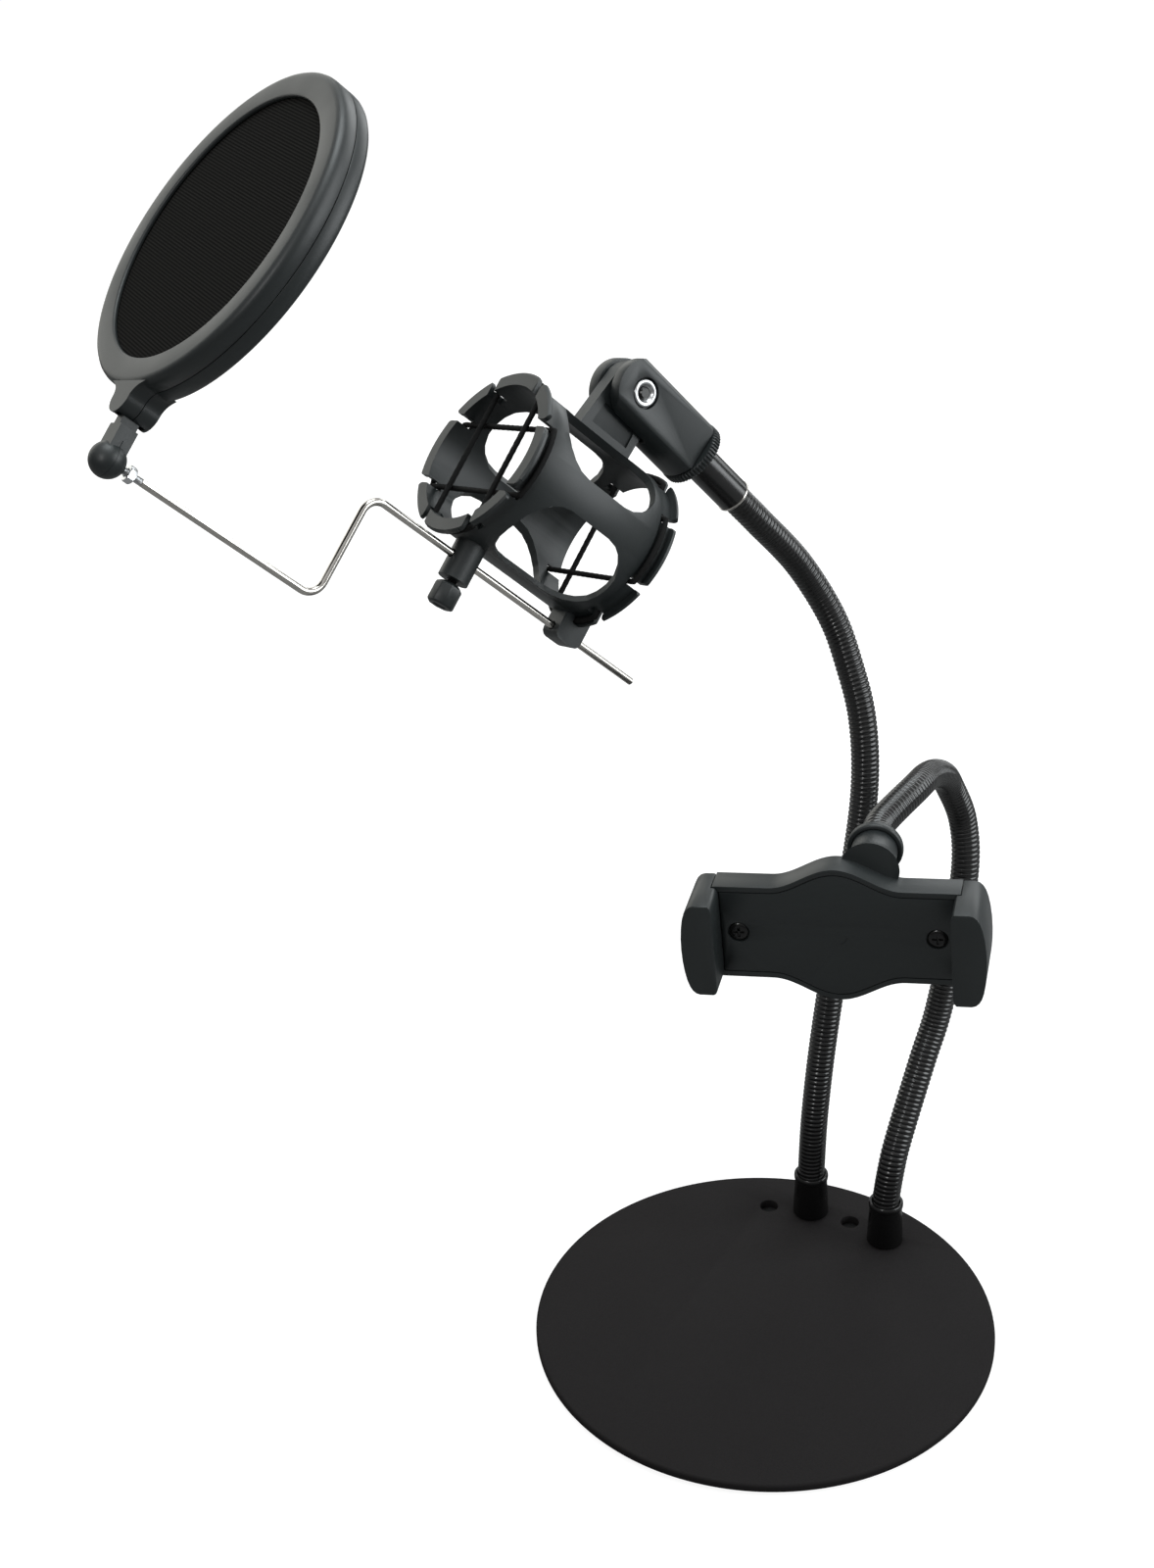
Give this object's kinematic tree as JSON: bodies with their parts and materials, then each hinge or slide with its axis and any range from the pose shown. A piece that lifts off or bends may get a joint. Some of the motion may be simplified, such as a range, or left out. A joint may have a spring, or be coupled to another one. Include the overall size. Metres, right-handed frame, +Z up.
{
  "type": "microphone pop filter stand",
  "caption": "Round-base desk stand with two goosenecks: one carries an elastic shock mount and a mesh pop filter on a bent wire, the other a sprung phone clamp.",
  "frame": {"origin": "centre of the underside of the round base", "axes": "+Z up, +Y to the back through the middle of the row of foot holes, +X to the right seen from the front"},
  "size_m": [0.33, 0.2842, 0.5331],
  "materials": {
    "powder_coat": "matte fine-textured black powder coat",
    "rubber": "matte black",
    "zinc": "zinc plated",
    "black_steel": "semi-gloss black",
    "elastic": "woven black elastic",
    "chrome_wire": "bright plated",
    "mesh_fabric": "fine black nylon mesh",
    "black_plastic": "satin moulded black"
  },
  "bodies": {
    "base": {"base_plate": "powder_coat", "base_pad": "rubber", "mic_foot_screw": "zinc", "phone_foot_screw": "zinc", "mic_foot_ferrule": "black_steel", "phone_foot_ferrule": "black_steel", "mic_neck_link_0": "black_steel", "phone_neck_link_0": "black_steel"},
    "mic_neck_1": {"mic_neck_link_1": "black_steel"},
    "phone_neck_1": {"phone_neck_link_1": "black_steel"},
    "mic_neck_2": {"mic_neck_link_2": "black_steel"},
    "phone_neck_2": {"phone_neck_link_2": "black_steel"},
    "mic_neck_3": {"mic_neck_link_3": "black_steel"},
    "phone_neck_3": {"phone_neck_link_3": "black_steel"},
    "mic_neck_4": {"mic_neck_link_4": "black_steel"},
    "phone_neck_4": {"phone_neck_link_4": "black_steel"},
    "mic_neck_5": {"mic_neck_link_5": "black_steel"},
    "phone_neck_5": {"phone_neck_link_5": "black_steel"},
    "mic_neck_6": {"mic_neck_link_6": "black_steel", "mic_top_ferrule": "black_steel"},
    "phone_neck_6": {"phone_neck_link_6": "black_steel"},
    "swivel": {"swivel_barrel": "black_plastic", "pivot_bolt": "zinc", "pivot_nut": "zinc", "friction_washer_near": "rubber", "friction_washer_far": "rubber"},
    "lock_ring": {"lock_ring": "black_plastic"},
    "shock_mount": {"shock_basket": "black_plastic", "front_cord_upright": "elastic", "front_cord_cross": "elastic", "rear_cord_upright": "elastic", "rear_cord_cross": "elastic"},
    "clamp_screw": {"clamp_screw": "black_plastic"},
    "wire_arm": {"filter_wire": "chrome_wire", "wire_nut": "zinc"},
    "ball_stem": {"ball_stem": "black_plastic"},
    "filter_hoop": {"hoop_front_shell": "black_plastic", "hoop_rear_shell": "black_plastic", "mesh_front": "mesh_fabric", "mesh_rear": "mesh_fabric", "hoop_pivot_pin": "zinc"},
    "ball_stud": {"ball_stud": "black_steel"},
    "phone_cradle": {"clamp_back_shell": "black_plastic", "clamp_front_plate": "black_plastic", "clamp_screw_left": "black_steel", "clamp_screw_right": "black_steel", "clamp_spring_left": "zinc", "clamp_spring_right": "zinc"},
    "ball_nut": {"ball_nut": "black_plastic"},
    "jaw_left": {"clamp_jaw_left": "black_plastic"},
    "jaw_right": {"clamp_jaw_right": "black_plastic"}
  },
  "joints": [
    {"name": "mic_neck_bend_1", "type": "hinge", "parent": "base", "child": "mic_neck_1", "pos_m": [-0.00914, 0.08151, 0.07205], "axis": [0.9771, -0.2105, 0.0326], "range_deg": [-10, 10]},
    {"name": "mic_neck_sway_2", "type": "hinge", "parent": "mic_neck_1", "child": "mic_neck_2", "pos_m": [-0.00813, 0.0943, 0.12163], "axis": [0.2079, 0.9354, -0.2859], "range_deg": [-8, 8]},
    {"name": "mic_neck_bend_3", "type": "hinge", "parent": "mic_neck_2", "child": "mic_neck_3", "pos_m": [-0.00575, 0.11075, 0.17007], "axis": [0.9774, -0.2104, 0.0188], "range_deg": [-10, 10]},
    {"name": "mic_neck_sway_4", "type": "hinge", "parent": "mic_neck_3", "child": "mic_neck_4", "pos_m": [-0.00562, 0.12247, 0.21983], "axis": [0.2144, 0.9647, -0.1531], "range_deg": [-8, 8]},
    {"name": "mic_neck_bend_5", "type": "hinge", "parent": "mic_neck_4", "child": "mic_neck_5", "pos_m": [-0.01948, 0.13081, 0.26814], "axis": [0.8978, -0.1828, 0.4007], "range_deg": [-10, 10]},
    {"name": "mic_neck_sway_6", "type": "hinge", "parent": "mic_neck_5", "child": "mic_neck_6", "pos_m": [-0.0397, 0.11963, 0.31285], "axis": [0.174, 0.7828, 0.5975], "range_deg": [-8, 8]},
    {"name": "phone_neck_bend_1", "type": "hinge", "parent": "base", "child": "phone_neck_1", "pos_m": [0.03114, 0.0848, 0.06322], "axis": [0.9969, -0.0418, -0.0668], "range_deg": [-9, 9]},
    {"name": "phone_neck_sway_2", "type": "hinge", "parent": "phone_neck_1", "child": "phone_neck_2", "pos_m": [0.03538, 0.10849, 0.10104], "axis": [0, 0.8882, -0.4595], "range_deg": [-8, 8]},
    {"name": "phone_neck_bend_3", "type": "hinge", "parent": "phone_neck_2", "child": "phone_neck_3", "pos_m": [0.03934, 0.12092, 0.14383], "axis": [0.9979, -0.0136, -0.0639], "range_deg": [-9, 9]},
    {"name": "phone_neck_sway_4", "type": "hinge", "parent": "phone_neck_3", "child": "phone_neck_4", "pos_m": [0.03957, 0.12861, 0.18789], "axis": [0, 0.9879, -0.1552], "range_deg": [-8, 8]},
    {"name": "phone_neck_bend_5", "type": "hinge", "parent": "phone_neck_4", "child": "phone_neck_5", "pos_m": [0.03391, 0.11207, 0.22654], "axis": [0.9982, 0.0482, -0.0354], "range_deg": [-9, 9]},
    {"name": "phone_neck_sway_6", "type": "hinge", "parent": "phone_neck_5", "child": "phone_neck_6", "pos_m": [0.03668, 0.07075, 0.24257], "axis": [0, 0.1347, 0.9909], "range_deg": [-8, 8]},
    {"name": "head_turn", "type": "hinge", "parent": "mic_neck_6", "child": "swivel", "pos_m": [-0.05849, 0.0913, 0.35105], "axis": [0.412, 0.5171, -0.7503], "range_deg": [-90, 90]},
    {"name": "lock_ring_spin", "type": "hinge", "parent": "mic_neck_6", "child": "lock_ring", "pos_m": [-0.06867, 0.07853, 0.36958], "axis": [0.412, 0.5171, -0.7503], "continuous": true},
    {"name": "head_tilt", "type": "hinge", "parent": "swivel", "child": "shock_mount", "pos_m": [-0.08404, 0.05924, 0.39756], "axis": [0.8873, -0.415, 0.2013], "range_deg": [-85, 3]},
    {"name": "clamp_screw_turn", "type": "hinge", "parent": "shock_mount", "child": "clamp_screw", "pos_m": [-0.11404, -0.02624, 0.35357], "axis": [0.1706, 0.7007, 0.6928], "continuous": true},
    {"name": "wire_slide", "type": "slide", "parent": "shock_mount", "child": "wire_arm", "axis": [0.4285, 0.5803, -0.6925], "range_m": [-0.04, 0.025]},
    {"name": "ball_stem_turn", "type": "hinge", "parent": "wire_arm", "child": "ball_stem", "pos_m": [-0.18282, -0.14006, 0.42211], "axis": [0.4285, 0.5803, -0.6925], "range_deg": [-90, 90]},
    {"name": "hoop_tilt", "type": "hinge", "parent": "ball_stem", "child": "filter_hoop", "pos_m": [-0.17992, -0.12504, 0.4365], "axis": [0.893, -0.389, 0.2265], "range_deg": [-15, 15]},
    {"name": "cradle_turn", "type": "hinge", "parent": "phone_neck_6", "child": "ball_stud", "pos_m": [0.03926, 0.01416, 0.24019], "axis": [-0.2385, 0.9711, 0], "range_deg": [-90, 90]},
    {"name": "cradle_tilt", "type": "hinge", "parent": "ball_stud", "child": "phone_cradle", "pos_m": [0.03926, 0.01416, 0.24019], "axis": [0.9689, 0.238, 0.068], "range_deg": [-15, 15]},
    {"name": "ball_nut_spin", "type": "hinge", "parent": "phone_cradle", "child": "ball_nut", "pos_m": [0.03926, 0.01416, 0.24019], "axis": [-0.2385, 0.9711, 0], "continuous": true},
    {"name": "jaw_left_slide", "type": "slide", "parent": "phone_cradle", "child": "jaw_left", "axis": [-0.9689, -0.238, -0.068], "range_m": [0, 0.011], "stiffness_N_per_m": 350, "springref_m": -0.012},
    {"name": "jaw_right_slide", "type": "slide", "parent": "phone_cradle", "child": "jaw_right", "axis": [0.9689, 0.238, 0.068], "range_m": [0, 0.011], "stiffness_N_per_m": 350, "springref_m": -0.012}
  ],
  "couplings": [
    {"joint": "mic_neck_bend_3", "follows": "mic_neck_bend_1", "ratio": 1},
    {"joint": "mic_neck_bend_5", "follows": "mic_neck_bend_1", "ratio": 1},
    {"joint": "mic_neck_sway_4", "follows": "mic_neck_sway_2", "ratio": 1},
    {"joint": "mic_neck_sway_6", "follows": "mic_neck_sway_2", "ratio": 1},
    {"joint": "phone_neck_bend_3", "follows": "phone_neck_bend_1", "ratio": 1},
    {"joint": "phone_neck_bend_5", "follows": "phone_neck_bend_1", "ratio": 1},
    {"joint": "phone_neck_sway_4", "follows": "phone_neck_sway_2", "ratio": 1},
    {"joint": "phone_neck_sway_6", "follows": "phone_neck_sway_2", "ratio": 1}
  ]
}
